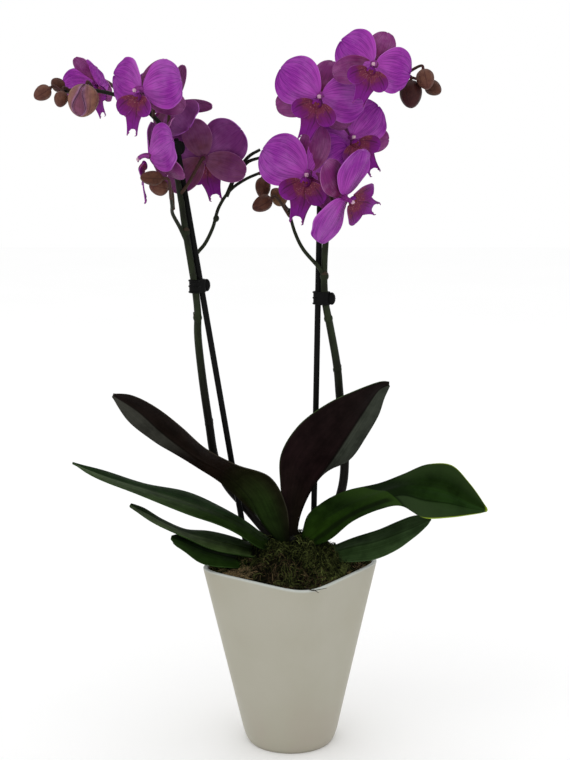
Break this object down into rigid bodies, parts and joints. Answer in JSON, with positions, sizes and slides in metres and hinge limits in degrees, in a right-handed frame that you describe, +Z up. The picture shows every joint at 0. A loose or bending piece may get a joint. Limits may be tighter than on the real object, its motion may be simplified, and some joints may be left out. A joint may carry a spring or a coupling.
{
  "type": "potted orchid",
  "caption": "Moth orchid with staked, arching spikes of magenta blooms and buds over thick strap leaves, in a tapering glazed cover pot topped with moss.",
  "frame": {"origin": "middle of the pot's flat foot, on the surface that it stands on", "axes": "+Z up the plant, +X to the right of the plant's front, +Y to its back"},
  "size_m": [0.3932, 0.1721, 0.641],
  "materials": {
    "pot_glaze": "glossy pale grey-cream glaze",
    "bark": "coarse damp bark chips",
    "moss": "matted stringy moss",
    "leaf": "waxy dark green, maroon below",
    "stem": "smooth dark green-brown",
    "black_plastic": "satin black",
    "petal": "velvety magenta-purple with darker veins",
    "lip": "deep magenta, brown-red in the throat",
    "bud": "waxy brown with a violet cast"
  },
  "bodies": {
    "root": {"pot": "pot_glaze", "growing_medium": "bark", "moss": "moss", "crown": "leaf", "leaf_left_upper": "leaf", "leaf_left_long": "leaf", "leaf_left_narrow": "leaf", "leaf_left_low": "leaf", "leaf_right_upright": "leaf", "leaf_right_arched": "leaf", "leaf_right_low": "leaf", "stake_left": "black_plastic", "stake_right": "black_plastic", "spike_left": "stem", "spike_right": "stem", "clip_left_middle": "black_plastic", "clip_left_upper": "black_plastic", "clip_right_middle": "black_plastic", "bloom_left_1_petals": "petal", "bloom_left_1_lip": "lip", "bloom_left_2_petals": "petal", "bloom_left_2_lip": "lip", "bloom_left_3_petals": "petal", "bloom_left_3_lip": "lip", "bloom_left_4_petals": "petal", "bloom_left_4_lip": "lip", "bloom_left_5_petals": "petal", "bloom_left_5_lip": "lip", "bloom_right_1_petals": "petal", "bloom_right_1_lip": "lip", "bloom_right_2_petals": "petal", "bloom_right_2_lip": "lip", "bloom_right_3_petals": "petal", "bloom_right_3_lip": "lip", "bloom_right_4_petals": "petal", "bloom_right_4_lip": "lip", "bloom_right_5_petals": "petal", "bloom_right_5_lip": "lip", "bud_left_tip_1": "bud", "bud_left_tip_2": "bud", "bud_left_tip_3": "bud", "bud_left_opening": "bud", "bud_left_branch_1": "bud", "bud_left_branch_2": "bud", "bud_middle_1": "bud", "bud_middle_2": "bud", "bud_middle_3": "bud", "bud_right_tip_1": "bud", "bud_right_tip_2": "bud", "bud_right_tip_3": "bud"}
  },
  "joints": []
}
